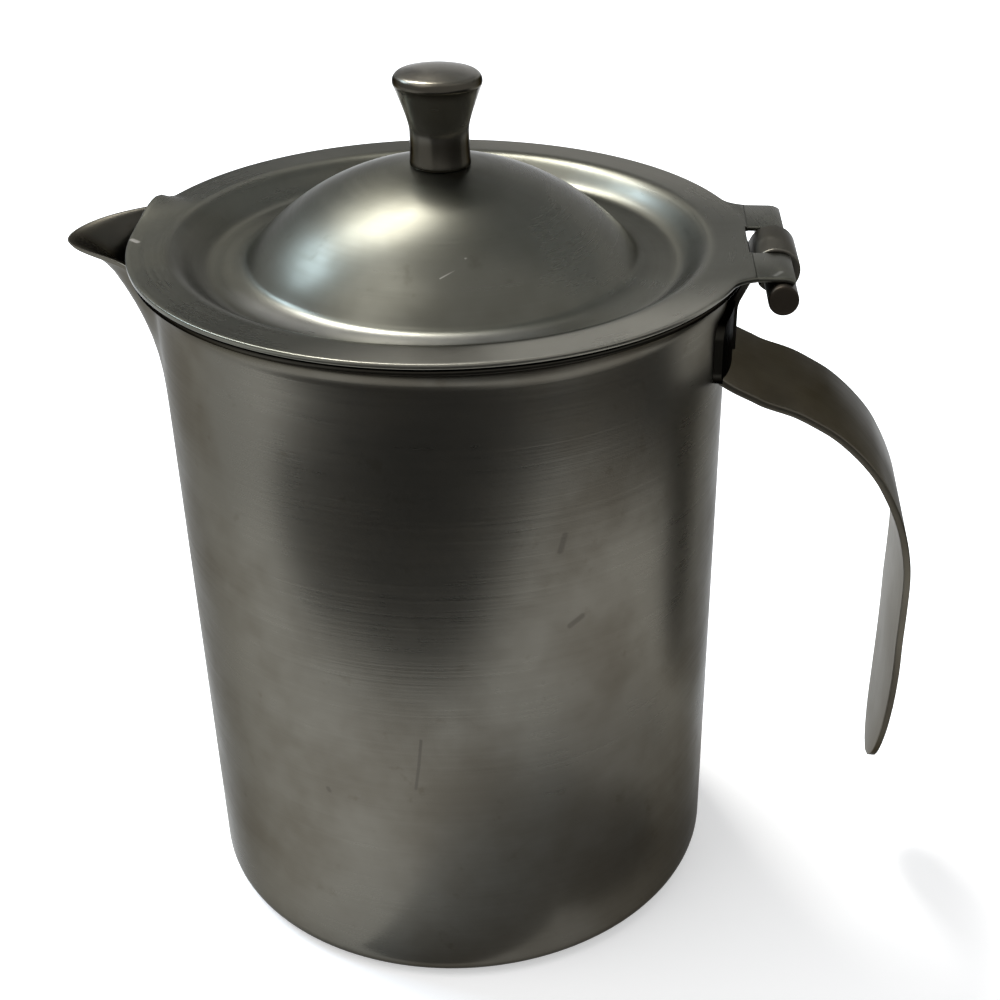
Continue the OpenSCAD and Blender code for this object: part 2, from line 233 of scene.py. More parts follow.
def worn_steel(name, clean, tarnish, roughness, lines, line_depth, stretch, edge_tint=1.0,
               shade=None, painted_highlights=(), marks=()):
    """Satin steel: fine lines left by the polishing belt, a cloudy tarnish and short painted marks.
    lines is the kind of line: "wall" runs round the body, "rings" round a turned face and "along" down
    a strap. edge_tint darkens the glancing reflection. shade gives the share of painted shade at certain
    places, which also dulls the glancing reflection there, and each highlight entry a share and the tone of
    a painted highlight."""
    cloud_share, freckle_share, grain_share = 0.75, 0.35, 0.24
    # The tone and the glancing reflection that painted shade leads to.
    shade_tone, shade_edge_tint = tone(0.010, 0.009, 0.007), 0.08
    dent_depth = 0.12 * MM
    w = Wiring(name)
    x, y, z = w.parts(w.place)
    across = w.math("SQRT", w.math("ADD", w.math("MULTIPLY", x, x), w.math("MULTIPLY", y, y)))
    courses = {"wall": ((x, 8.0), (y, 8.0), (z, 900.0)),
               "rings": ((across, 1100.0), (x, 9.0), (y, 9.0)),
               "along": ((x, 20.0), (y, 1100.0), (z, 20.0))}
    course = w.join(*(w.math("MULTIPLY", part, pitch) for part, pitch in courses[lines]))
    brushed = w.noise(course, scale=2.2, detail=3.0, rough=0.6)
    clouds = w.noise(w.place, scale=38.0, detail=4.0, rough=0.6)
    freckles = w.noise(w.place, scale=210.0, detail=3.0, rough=0.65)
    share = w.math("MULTIPLY_ADD", w.span(clouds, 0.38, 0.68, 0.0, 1.0), cloud_share,
                   w.span(freckles, 0.62, 0.74, 0.0, freckle_share))
    grain = w.math("MULTIPLY_ADD", brushed, grain_share, -grain_share / 2)
    colour = w.blend(w.math("ADD", share, grain), tone(*clean), tone(*tarnish))
    w.shader.inputs["Specular Tint"].default_value = tone(edge_tint, edge_tint, edge_tint)
    # Painted highlights go on first, then painted shade, then the marks.
    for where, paint in painted_highlights:
        colour = w.blend(where(w, across, z), colour, tone(*paint))
    if shade:
        shade_share = shade(w, across, z)
        colour = w.blend(shade_share, colour, shade_tone)
        tint = w.span(shade_share, 0.0, 1.0, edge_tint, shade_edge_tint)
        w.links.new(w.join(tint, tint, tint), w.shader.inputs["Specular Tint"])
    for start, end, width, paint in marks:
        colour = w.blend(near_line(w, start, end, width * MM), colour, tone(*paint))
    w.links.new(colour, w.shader.inputs["Base Color"])
    w.shader.inputs["Metallic"].default_value = 1.0
    rough = w.math("ADD", w.span(clouds, 0.3, 0.7, roughness - 0.04, roughness + 0.05),
                   w.math("MULTIPLY", w.math("SUBTRACT", brushed, 0.5), 0.10))
    w.links.new(rough, w.shader.inputs["Roughness"])
    w.shader.inputs["Anisotropic"].default_value = stretch
    dents = w.bump(w.noise(w.place, scale=26.0, detail=1.0), dent_depth)
    w.links.new(w.bump(brushed, line_depth, dents), w.shader.inputs["Normal"])
    return w


def spout_share(angle, z):
    """How far the wall is drawn out, from 0 to 1, at an angle in degrees from the spout's ridge."""
    if z <= spout_foot or abs(angle) >= spout_angle:
        return 0.0
    rise = min(1.0, (z - spout_foot) / (rim_top - spout_foot))
    return rise ** 2 * math.cos(math.radians(90 * angle / spout_angle)) ** 2


def wall_point(p, angle):
    """A point of the wall's section, carried round the jug and drawn out at the spout."""
    share = spout_share(angle, p[1])
    r = p[0] + spout_out * share
    a = math.radians(angle)
    z = p[1] - lip_dip * share ** 3 * (1 if p[1] > wall_head else 0)
    return (-r * math.cos(a), r * math.sin(a), z)


flare = cubic((body_r, wall_head), (body_r, wall_head + flare_up_share * flare_h),
              (rim_r - flare_out_share * rim_out, rim_under), (rim_r - edge_round, rim_under), flare_n)
outer = ([(r * MM, 0.0) for r in base_rings]
         + arc((body_r - base_round, base_round), base_round, -90, 0, base_n)
         + [(body_r, base_round + (wall_head - base_round) * i / wall_n) for i in range(1, wall_n)]
         + flare)
inner = beside(outer, sheet_t)
inner[0] = (0.0, sheet_t)
rim_edge = (arc((rim_r - edge_round, rim_under + edge_round), edge_round, -90, 0, edge_n)[1:]
            + arc((rim_r - edge_round, rim_top - edge_round), edge_round, 0, 90, edge_n)[:-1])
section = outer + rim_edge + inner[::-1]
columns = [spout_angle * (2 * i / spout_cols - 1) for i in range(spout_cols)]
columns += [spout_angle + (360 - 2 * spout_angle) * i / round_cols for i in range(round_cols)]


def rim_and_inside_painted_shade(w, across, height):
    """Painted shade: the rim's edge, which lies under the lid, though not at the spout, and every face that
    looks inwards, less so towards the spout's tip.
    """
    fade_in, fade_full = rim_r - 2.0 * MM, rim_r - 1.2 * MM
    spout_near, spout_back = -44.5 * MM, -42.5 * MM
    throat_tip, throat_root = rim_r + 7.0 * MM, rim_r - 1.0 * MM
    turn_over = 0.002
    rim = w.math("MULTIPLY", w.span(across, fade_in, fade_full, 0.25, 0.85),
                 w.span(height, wall_head, wall_head + 0.5 * flare_h, 0.0, 1.0))
    rim = w.math("MULTIPLY", rim, w.span(w.parts(w.place)[0], spout_near, spout_back, 0.0, 1.0))
    flat = w.vector("MULTIPLY", w.place, (1.0, 1.0, 0.0))
    inward = w.span(w.vector("DOT_PRODUCT", w.facing, flat, "Value"), -turn_over, turn_over, 1.0, 0.0)
    throat = w.math("MULTIPLY", inward, w.span(across, throat_tip, throat_root, 0.55, 0.93))
    return w.math("MAXIMUM", rim, throat)


stain = (0.068, 0.062, 0.052)
wall_marks = (((0.11, -44.2, 50.4), (-0.42, -44.2, 45.7), 0.35, stain),
              ((-0.42, -44.2, 45.7), (-1.11, -44.2, 40.9), 0.35, stain),
              ((-15.7, -41.3, 37.8), (-15.5, -41.4, 37.4), 0.55, stain),
              ((21.6, -38.5, 84.5), (21.0, -38.9, 82.0), 0.7, stain),
              ((24.1, -37.0, 69.7), (22.4, -38.1, 68.6), 0.7, stain))
vessel_steel = worn_steel("wall_steel", clean=(0.104, 0.098, 0.083), tarnish=(0.074, 0.066, 0.052),
                          roughness=0.31, lines="wall", line_depth=0.00001, stretch=0.45,
                          edge_tint=0.4, shade=rim_and_inside_painted_shade, marks=wall_marks)
verts = [wall_point(p, a) for a in columns for p in section]
jug_body = add_piece("jug_body", verts, wrap_rows(len(section), len(columns)), "jug",
                     vessel_steel.material)
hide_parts("vessel")

# The hinge leaf is a pad of thicker strip, welded on the wall under the rim.
# Its narrow tongue bends out past the rim, comes up through the lid's tab and is rolled round the pin.
leaf_t = 1.2 * MM
pad_lo, pad_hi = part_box("hinge_leaf")
pad_h = 10.0 * MM
pad_foot = pad_lo[2]
pad_head = pad_foot + pad_h
pad_half = pad_hi[1]
pad_corner = 1.8 * MM
pad_sink = 0.1 * MM
tongue_half = 5.15 * MM
hinge_turn = math.radians(2.6)
pin_out = 4.0 * MM
pin_under = 2.0 * MM
pin_x = rim_r + pin_out
pin_z = rim_top - pin_under
pin_r = 2.3 * MM
pin_clear = 0.05 * MM
strip_edge = 0.25 * MM
sheet_sharp = 40


def at_hinge(verts):
    """Points made square to the pin, turned to where the hinge stands round the jug."""
    c, s = math.cos(hinge_turn), math.sin(hinge_turn)
    return [(x * c - y * s, x * s + y * c, z) for x, y, z in verts]


def rounded_section(half, t, edge, n=4):
    """Outline of a strip's cross-section as (sideways, through) pairs, anticlockwise."""
    most_of_half, most_of_t = 0.9, 0.98
    edge = min(edge, half * most_of_half, t / 2 * most_of_t)
    out = []
    for sy, sd, start in ((1, 1, 0), (-1, 1, 90), (-1, -1, 180), (1, -1, 270)):
        centre = (sy * (half - edge), sd * (t / 2 - edge))
        out += arc(centre, edge, start, start + 90, n)
    return out


def strip_mesh(path, halves, t, edge, middle=0.0, cope=None):
    """A bent strip along a path in the upright plane of the handle, with rounded edges."""
    rows = len(path)
    verts = []
    for i, p in enumerate(path):
        a, b = path[max(i - 1, 0)], path[min(i + 1, rows - 1)]
        dx, dz = b[0] - a[0], b[1] - a[1]
        size = math.hypot(dx, dz)
        nx, nz = -dz / size, dx / size
        for side, through in rounded_section(halves[i], t, edge):
            push = cope(i, side) if cope else 0.0
            verts.append((p[0] + nx * through + push, middle + side, p[1] + nz * through))
    n = len(verts) // rows
    faces = []
    for i in range(rows - 1):
        for k in range(n):
            m = (k + 1) % n
            faces.append((i * n + k, i * n + m, (i + 1) * n + m, (i + 1) * n + k))
    faces.append(tuple(range(n))[::-1])
    faces.append(tuple((rows - 1) * n + k for k in range(n)))
    return verts, faces


def spline(points, n):
    """A smooth curve through the points."""
    out = []
    for i in range(len(points) - 1):
        a, b = points[max(i - 1, 0)], points[i]
        c, d = points[i + 1], points[min(i + 2, len(points) - 1)]
        for k in range(n):
            t = k / n
            out.append(tuple(b[m] + t * (c[m] - a[m]) / 2
                             + t * t * (a[m] - 2.5 * b[m] + 2 * c[m] - d[m] / 2)
                             + t * t * t * (3 * b[m] - a[m] - 3 * c[m] + d[m]) / 2 for m in (0, 1)))
    out.append(tuple(points[-1]))
    return out


pad_cols, pad_rows = 36, 10
pad_verts = []
for skin in (body_r - pad_sink, body_r + leaf_t):
    for j in range(pad_cols + 1):
        y = -pad_half + 2 * pad_half * j / pad_cols
        over = abs(y) - (pad_half - pad_corner)
        cut = pad_corner - math.sqrt(max(pad_corner ** 2 - over ** 2, 0.0)) if over > 0 else 0.0
        for i in range(pad_rows + 1):
            z = pad_foot + cut + (pad_head - pad_foot - 2 * cut) * i / pad_rows
            pad_verts.append((math.sqrt(skin ** 2 - y ** 2), y, z))
stride = pad_rows + 1
plate = (pad_cols + 1) * stride
pad_faces = []
for j in range(pad_cols):
    for i in range(pad_rows):
        a, b = j * stride + i, (j + 1) * stride + i
        pad_faces.append((a, a + 1, b + 1, b))
        pad_faces.append((plate + a, plate + b, plate + b + 1, plate + a + 1))
    for i in (0, pad_rows):
        a, b = j * stride + i, (j + 1) * stride + i
        pad_faces.append((a, b, plate + b, plate + a))
for j in (0, pad_cols):
    for i in range(pad_rows):
        a = j * stride + i
        pad_faces.append((a, a + 1, plate + a + 1, plate + a))


def pad_painted_shade(w, across, height):
    """Painted shade under the lid: the pad is dark, and the shade fades out up the tongue until just under
    the rim's top.
    """
    shade_end_z = rim_top - 1.5 * MM
    return w.span(height, pad_head, shade_end_z, 0.9, 0.0)


leaf_steel = worn_steel("leaf_steel", clean=(0.085, 0.080, 0.068), tarnish=(0.055, 0.049, 0.038),
                        roughness=0.36, lines="along", line_depth=0.00001, stretch=0.3,
                        edge_tint=0.4, shade=pad_painted_shade)
leaf_pad = add_piece("leaf_pad", pad_verts, pad_faces, "jug", leaf_steel.material, sheet_sharp)

roll_r = pin_r + pin_clear + leaf_t / 2
roll_end = -140
roll_flat = 0.3 * MM
lean = 26.0
lean_cos, lean_sin = math.cos(math.radians(lean)), math.sin(math.radians(lean))
bend_low = 5.0 * MM
stem_proud = 0.15 * MM
stem_x = body_r + leaf_t / 2 + stem_proud
stem_foot = pad_foot + 2 * MM
stem_end = 1 * MM
bend_n, lean_n, roll_n = 8, 12, 44
bend_x = pin_x - roll_flat
run = (bend_x - roll_r * lean_cos - stem_x - bend_low * (1 - lean_cos)) / lean_sin
stem_z = pin_z + (roll_r - bend_low) * lean_sin - run * lean_cos
tongue_path = ([(stem_x, stem_foot), (stem_x, stem_z - stem_end)]
               + arc((stem_x + bend_low, stem_z), bend_low, 180, 180 - lean, bend_n)
               + arc((bend_x, pin_z), roll_r, 180 - lean, 90, lean_n)
               + arc((pin_x, pin_z), roll_r, 90, roll_end, roll_n))
verts, faces = strip_mesh(tongue_path, [tongue_half] * len(tongue_path), leaf_t, strip_edge)
leaf_tongue = add_piece("leaf_tongue", at_hinge(verts), faces, "jug", leaf_steel.material, sheet_sharp)
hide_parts("hinge_leaf")

# The handle is a strap of the same strip, bent over a former and left open at its lower end.
# Its root is welded on the leaf; the free end is cut round and its edges are broken with a file.
handle_lo, handle_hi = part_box("handle")
handle_t = 1.2 * MM
handle_half = 12.0 * MM
handle_tip = handle_lo[2]
handle_end = 30.0 * MM
handle_tip_share = 0.04
bulge_spare = 0.01 * MM
cope_reach = 4.5 * MM
back_x = handle_hi[0] - handle_t / 2 - bulge_spare
root = (body_r, pad_foot + handle_t)
line_n = 6
knot_shares = ((0.000, 0.000), (0.041, 0.016), (0.100, 0.033), (0.192, 0.053), (0.346, 0.073),
               (0.457, 0.095), (0.564, 0.121), (0.679, 0.161), (0.776, 0.205), (0.841, 0.247),
               (0.897, 0.292), (0.942, 0.340), (0.976, 0.396), (0.992, 0.450), (0.996, 0.525),
               (0.996, 0.601), (1.000, 0.680), (0.998, 0.760), (0.990, 0.842), (0.980, 0.905),
               (0.964, 1.000))
handle_drop = root[1] - handle_tip
handle_reach = back_x - root[0]
handle_line = spline([(root[0] + handle_reach * a, root[1] - handle_drop * b)
                      for a, b in knot_shares], line_n)
halves = []
for x, z in handle_line:
    low = max((handle_tip + handle_end - z) / handle_end, 0.0)
    halves.append(handle_half * math.sqrt(max(1 - low * low, handle_tip_share ** 2)))


def cope_root(i, side):
    """Moves the edges of the strap's first rows back to the round of the wall that they are welded on.
    The strip has no points between its edges, so its middle stays straight."""
    fade = max(0.0, 1 - (handle_line[i][0] - body_r) / cope_reach)
    leaf_r = body_r + leaf_t
    return (math.sqrt(leaf_r ** 2 - side ** 2) - leaf_r) * fade


verts, faces = strip_mesh(handle_line, halves, handle_t, strip_edge, cope=cope_root)


def jug_side_painted_highlight(w, across, height):
    """Painted highlight on the faces of the strap that turn towards the jug."""
    towards_jug, half_turned = -0.75, -0.25
    return w.span(w.parts(w.facing)[0], towards_jug, half_turned, 0.95, 0.0)


# The tone of the painted highlight on the handle's side towards the jug.
jug_side_highlight_tone = (0.24, 0.225, 0.195)
handle_steel = worn_steel("handle_steel", clean=(0.072, 0.065, 0.051), tarnish=(0.046, 0.040, 0.030),
                          roughness=0.34, lines="along", line_depth=0.00001, stretch=0.4,
                          edge_tint=0.35, painted_highlights=((jug_side_painted_highlight, jug_side_highlight_tone),))
handle_strap = add_piece("handle_strap", verts, faces, "jug", handle_steel.material, sheet_sharp)
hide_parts("handle")

# The hinge pin is a length of round bar under the lid's two fingers, and a little longer than them.
# It is coloured very dark all over, and its cut ends are slightly rounded.
pin_half = 17.0 * MM
pin_edge = 0.35 * MM
pin_sides = 48


def turned(outline, n, centre=(0.0, 0.0), lie_along_y=False):
    """A turned shape from its half outline (radius, height), closed on its axis."""
    verts = []
    for j in range(n):
        a = 2 * math.pi * j / n
        for r, h in outline:
            if lie_along_y:
                verts.append((centre[0] + r * math.cos(a), h, centre[1] + r * math.sin(a)))
            else:
                verts.append((centre[0] + r * math.cos(a), centre[1] + r * math.sin(a), h))
    return verts, wrap_rows(len(outline), n)


pin_outline = ([(0.0, -pin_half), (pin_r / 2, -pin_half)]
               + arc((pin_r - pin_edge, -pin_half + pin_edge), pin_edge, -90, 0, edge_n)
               + arc((pin_r - pin_edge, pin_half - pin_edge), pin_edge, 0, 90, edge_n)
               + [(pin_r / 2, pin_half), (0.0, pin_half)])
pin_steel = worn_steel("pin_steel", clean=(0.032, 0.027, 0.021), tarnish=(0.020, 0.016, 0.012),
                       roughness=0.45, lines="along", line_depth=0.00001, stretch=0.0)
verts, faces = turned(pin_outline, pin_sides, (pin_x, pin_z), lie_along_y=True)
hinge_pin = add_piece("hinge_rod", at_hinge(verts), faces, "lid", pin_steel.material)
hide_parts("hinge_pin")

# The lid is pressed from one sheet: a flat flange over the rim, a groove that centres it, and a dome.
# A tab of the same sheet runs out at the back, slotted for the tongue; its two fingers bend over the pin.
lid_r = 47.5 * MM
lid_t = 0.8 * MM
lid_gap = 0.3 * MM
lid_top = rim_top + lid_gap + lid_t
flange_w = 5.4 * MM
flange_r = lid_r - flange_w
groove_r = 35.5 * MM
groove_depth = 3.5 * MM
groove_z = lid_top - groove_depth
dome_r = 29.7 * MM
dome_foot_h = 1.1 * MM
dome_foot_z = groove_z + dome_foot_h
seat_r = 5.0 * MM
seat_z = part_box("knob")[0][2]
ball_z = (dome_r ** 2 + dome_foot_z ** 2 - seat_r ** 2 - seat_z ** 2) / (dome_foot_z - seat_z) / 2
ball_r = math.hypot(seat_r, seat_z - ball_z)
hole_r = 2.2 * MM
tab_half = 15.65 * MM
tab_x = 47.4 * MM
slot_x = 46.8 * MM
slot_half = 5.55 * MM
finger_r = pin_r + lid_t / 2
finger_wrap = 35
lid_edge = 0.22 * MM
lid_edge_n = 3

foot_a = math.acos(dome_r / ball_r)
seat_a = math.acos(seat_r / ball_r)
foot_share = 0.55
step_share = 0.45
step_w = flange_r - groove_r
foot_pull = foot_share * (groove_r - dome_r)
rise_pull = dome_foot_h / math.cos(foot_a)
dome_n = 34
groove_n = 16
flange_rows = 9
face_in = ([(hole_r, seat_z), ((hole_r + seat_r) / 2, seat_z)]
           + arc((0.0, ball_z), ball_r, math.degrees(seat_a), math.degrees(foot_a), dome_n)
           + cubic((dome_r, dome_foot_z), (dome_r + rise_pull * math.sin(foot_a), groove_z),
                   (groove_r - foot_pull, groove_z), (groove_r, groove_z), groove_n)[1:]
           + cubic((groove_r, groove_z), (groove_r + step_share * step_w, groove_z),
                   (flange_r - step_share * step_w, lid_top), (flange_r, lid_top), groove_n)[1:])

slot_a = math.degrees(math.atan2(slot_half, slot_x))
side_a = math.degrees(math.atan2(tab_half, tab_x))
tab_fillet_a = 5.0
tab_fillet_power = 2.6
angle_spare = 1e-6


def tab_reach(angle):
    """Radius of the lid's edge at an angle from the hinge: the round flange, its tab, or the slot."""
    a = abs(angle)
    if a < slot_a:
        return slot_x / math.cos(math.radians(a))
    if a <= side_a + angle_spare:
        return tab_x / math.cos(math.radians(a))
    blend = max(0.0, 1 - (a - side_a) / tab_fillet_a)
    corner = tab_x / math.cos(math.radians(side_a))
    return lid_r + (corner - lid_r) * blend ** tab_fillet_power


knock_at = 168.0
knock_lift = 1.3 * MM
knock_push = 0.8 * MM
knock_steep_a, knock_long_a = 2.4, 9.0
knock_power = 1.5


def knocked(angle, r, z):
    """A knock has turned up a small corner of the flange beside the spout."""
    off = angle - knock_at
    spread = knock_steep_a if off < 0 else knock_long_a
    share = math.exp(-(off / spread) ** 2) * max(0.0, (r - flange_r) / flange_w) ** knock_power
    return r + knock_push * share, z + knock_lift * share


step_a = 0.03
tab_cols, fillet_cols, lid_round_cols = 6, 12, 180
fillet_end_a = 5.5
half_cols = [0.0, slot_a / 2, slot_a - step_a, slot_a + step_a]
half_cols += [slot_a + (side_a - slot_a) * i / tab_cols for i in range(1, tab_cols + 1)]
half_cols.append(side_a + step_a)
half_cols += [side_a + fillet_end_a * i / fillet_cols for i in range(1, fillet_cols + 1)]
lid_cols = sorted(set([-a for a in half_cols] + half_cols))
tab_end_a = half_cols[-1]
lid_cols += [tab_end_a + (360 - 2 * tab_end_a) * i / lid_round_cols for i in range(1, lid_round_cols)]
lid_verts = []
for angle in lid_cols:
    a = math.radians(angle) + hinge_turn
    edge_x = tab_reach(angle if angle < 180 else angle - 360) - lid_edge
    lid_in = face_in + [(flange_r + (edge_x - flange_r) * i / flange_rows, lid_top)
                        for i in range(1, flange_rows + 1)]
    lid_low = beside(lid_in, -lid_t)
    lid_low[0] = (hole_r, seat_z - lid_t)
    lid_low[-1] = (edge_x, lid_top - lid_t)
    rim_round = (arc((edge_x, lid_top - lid_edge), lid_edge, 90, 0, lid_edge_n)[1:]
                 + arc((edge_x, lid_top - lid_t + lid_edge), lid_edge, 0, -90, lid_edge_n)[:-1])
    for r, z in lid_in + rim_round + lid_low[::-1]:
        r, z = knocked(math.degrees(a), r, z)
        lid_verts.append((r * math.cos(a), r * math.sin(a), z))


def ring_share(w, across, radius, half_width):
    """1 on a ring round the lid's axis, falling to 0 at its half width."""
    off = w.math("ABSOLUTE", w.math("SUBTRACT", across, radius))
    return w.span(off, 0.0, half_width, 1.0, 0.0)


def groove_painted_highlight(w, across, height):
    """Painted highlight on the curve between dome and groove, at the front."""
    middle, half_width = dome_r + 3.2 * MM, 2.8 * MM
    fade_in, fade_full = 20 * MM, 32 * MM
    ahead = w.vector("DOT_PRODUCT", w.place, (-0.21, -0.98, 0.0), "Value")
    return w.math("MULTIPLY", ring_share(w, across, middle, half_width),
                  w.span(ahead, fade_in, fade_full, 0.0, 1.0))


def flange_painted_highlight(w, across, height):
    """Painted highlights on the flange: a strong one at the front, to the right of the middle, and a weaker
    one a little behind.
    """
    fade_in, fade_full = 30 * MM, 45 * MM
    edge_fade = 0.5 * MM
    on_flange = w.math("MULTIPLY", w.span(across, flange_r - 2 * edge_fade, flange_r + edge_fade, 0.0, 1.0),
                       w.span(across, lid_r - edge_fade, lid_r + edge_fade, 1.0, 0.0))
    ahead = w.vector("DOT_PRODUCT", w.place, (0.45, -0.89, 0.0), "Value")
    behind = w.vector("DOT_PRODUCT", w.place, (0.50, 0.87, 0.0), "Value")
    spots = w.math("MAXIMUM", w.span(ahead, fade_in, fade_full, 0.0, 0.95),
                   w.span(behind, fade_in, fade_full, 0.0, 0.6))
    return w.math("MULTIPLY", on_flange, spots)


# The tones of the painted highlights on the flange and on the curve between dome and groove.
flange_highlight_tone = (0.22, 0.21, 0.18)
groove_highlight_tone = (0.26, 0.255, 0.235)
bright = (0.30, 0.29, 0.26)
# The last two marks are painted highlights: one on the flange's edge beside the spout, one on the bend of
# the near finger.
lid_marks = (((2.95, -24.47, 117.2), (4.92, -23.2, 118.0), 0.2, bright),
             ((6.2, -21.3, 119.1), (6.35, -21.25, 119.15), 0.28, bright),
             ((-21.9, 1.2, 119.2), (-19.8, 3.6, 120.1), 0.14, bright),
             ((-46.5, -6.7, 114.6), (-45.4, -7.6, 114.5), 0.6, (0.24, 0.23, 0.21)),
             ((50.5, -12.4, 114.2), (51.4, -10.9, 114.2), 0.6, (0.20, 0.195, 0.175)))
lid_steel = worn_steel("lid_steel", clean=(0.087, 0.086, 0.072), tarnish=(0.057, 0.055, 0.043),
                       roughness=0.30, lines="rings", line_depth=0.0000025, stretch=0.35, edge_tint=0.6,
                       painted_highlights=((flange_painted_highlight, flange_highlight_tone), (groove_painted_highlight, groove_highlight_tone)),
                       marks=lid_marks)
rows = len(lid_verts) // len(lid_cols)
lid_plate = add_piece("lid_plate", lid_verts, wrap_rows(rows, len(lid_cols), True), "lid",
                      lid_steel.material, sheet_sharp)
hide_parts("lid")

finger_top = pin_z + finger_r
finger_mid = lid_top - lid_t / 2
finger_root = tab_x - 0.3 * MM
finger_flat = tab_x + 0.6 * MM
finger_pull = tab_x + 1.8 * MM
finger_over = pin_x - 1.6 * MM
finger_bend_n, finger_wrap_n = 8, 10
finger_path = ([(finger_root, finger_mid), (finger_flat, finger_mid)]
               + cubic((finger_flat, finger_mid), (finger_pull, finger_mid),
                       (finger_over, finger_top), (pin_x, finger_top), finger_bend_n)[1:]
               + arc((pin_x, pin_z), finger_r, 90, 90 - finger_wrap, finger_wrap_n)[1:])
finger_half = (tab_half - slot_half) / 2
for side, name in ((-1, "near"), (1, "far")):
    verts, faces = strip_mesh(finger_path, [finger_half] * len(finger_path), lid_t, lid_edge,
                              middle=side * (tab_half + slot_half) / 2)
    finger = add_piece("lid_finger_" + name, at_hinge(verts), faces, "lid", lid_steel.material, sheet_sharp)

# The knob is turned from bar: a waisted stem under a flared head with a rounded edge and a low crown.
# It is held from inside by a screw and a washer, which keep their plain turned shapes.
knob_lo, knob_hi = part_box("knob")
knob_z = knob_lo[2]
knob_r = knob_hi[0]
knob_foot_r = 4.6 * MM
knob_foot_edge = 0.3 * MM
knob_foot_h = 0.5 * MM
knob_foot_pull = 2.0 * MM
knob_waist_r = 4.45 * MM
knob_waist_h = 5.0 * MM
waist_pull_down, waist_pull_up = 1.3 * MM, 1.7 * MM
knob_edge = 1.3 * MM
knob_crown = 0.8 * MM
flank_in, flank_h = 0.19 * MM, 0.7 * MM
flank_pull_in, flank_pull_h = 0.95 * MM, 4.2 * MM
knob_head = knob_hi[2] - knob_crown
knob_sides = 72
foot_n, waist_n, flank_n, head_n, crown_n = 3, 10, 12, 14, 18
head_from_a, head_to_a = -30, 72
crown_clear_a = 1.0
waist_z = knob_z + knob_waist_h
knob_face_r = knob_r - knob_edge
crown_r = (knob_face_r ** 2 + knob_crown ** 2) / knob_crown / 2
crown_a = math.degrees(math.acos(knob_face_r / crown_r))
foot_face_r = knob_foot_r - knob_foot_edge
knob_outline = ([(0.0, knob_z), (foot_face_r, knob_z)]
                + arc((foot_face_r, knob_z + knob_foot_edge), knob_foot_edge, -90, 0, foot_n)[1:]
                + cubic((knob_foot_r, knob_z + knob_foot_h), (knob_waist_r, knob_z + knob_foot_pull),
                        (knob_waist_r, waist_z - waist_pull_down), (knob_waist_r, waist_z), waist_n)
                + cubic((knob_waist_r, waist_z), (knob_waist_r, waist_z + waist_pull_up),
                        (knob_r - flank_pull_in, knob_head - flank_pull_h),
                        (knob_r - flank_in, knob_head - knob_edge - flank_h), flank_n)[1:]
                + arc((knob_face_r, knob_head - knob_edge), knob_edge, head_from_a, head_to_a, head_n)
                + arc((0.0, knob_hi[2] - crown_r), crown_r, crown_a + crown_clear_a, 90, crown_n))


def flank_painted_highlight(w, across, height):
    """Painted highlight on the flank, from the waist up to just under the head's rounded edge."""
    half_fade = 1.5 * MM
    highlight_top, highlight_gone = knob_head - knob_edge - 1.6 * MM, knob_head - knob_edge - 0.4 * MM
    low = w.span(height, waist_z - half_fade, waist_z + half_fade, 0.0, 1.0)
    return w.math("MULTIPLY", low, w.span(height, highlight_top, highlight_gone, 1.0, 0.0))


def knob_edge_painted_shade(w, across, height):
    """Painted shade on the rounded edge of the head, where it faces sideways, a little down or partly up.
    """
    up = w.parts(w.facing)[2]
    below, level, rising, face = -0.45, 0.0, 0.55, 0.82
    return w.math("MULTIPLY", w.span(up, below, level, 0.0, 0.6), w.span(up, rising, face, 1.0, 0.0))


# The tone of the painted highlight on the knob's flank.
flank_highlight_tone = (0.22, 0.21, 0.185)
knob_steel = worn_steel("knob_steel", clean=(0.110, 0.102, 0.083), tarnish=(0.064, 0.056, 0.043),
                        roughness=0.24, lines="rings", line_depth=0.000006, stretch=0.2,
                        edge_tint=0.8, shade=knob_edge_painted_shade, painted_highlights=((flank_painted_highlight, flank_highlight_tone),))
verts, faces = turned(knob_outline, knob_sides)
knob_piece = add_piece("knob_turned", verts, faces, "lid", knob_steel.material)
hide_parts("knob")

fixing_steel = worn_steel("fixing_steel", clean=(0.30, 0.30, 0.29), tarnish=(0.22, 0.21, 0.20),
                          roughness=0.28, lines="rings", line_depth=0.000004, stretch=0.0)
for node in ("knob_screw", "knob_washer"):
    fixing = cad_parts[node]
    fixing.data.materials.clear()
    fixing.data.materials.append(fixing_steel.material)

# The jug stands on a pale floor in a light room. The floor keeps its shadow.
floor_half = 4.0
floor_z = -0.0001
floor_lift = 0.42
floor_tone = 0.82


def stage_plane(name, corners, material, faces=None):
    """A flat face through the corners, or the given faces, that is part of the set."""
    mesh = bpy.data.meshes.new(name)
    mesh.from_pydata(corners, [], faces or [tuple(range(len(corners)))])
    plane = bpy.data.objects.new(name, mesh)
    plane.data.materials.append(material)
    bpy.context.scene.collection.objects.link(plane)
    return plane


def seen_by(tree, *kinds):
    """A socket that is 1 for rays of any of these kinds and 0 for the others."""
    rays = tree.nodes.new("ShaderNodeLightPath")
    socket = rays.outputs[kinds[0]]
    for kind in kinds[1:]:
        either = tree.nodes.new("ShaderNodeMath")
        either.operation = "MAXIMUM"
        tree.links.new(socket, either.inputs[0])
        tree.links.new(rays.outputs[kind], either.inputs[1])
        socket = either.outputs[0]
    return socket


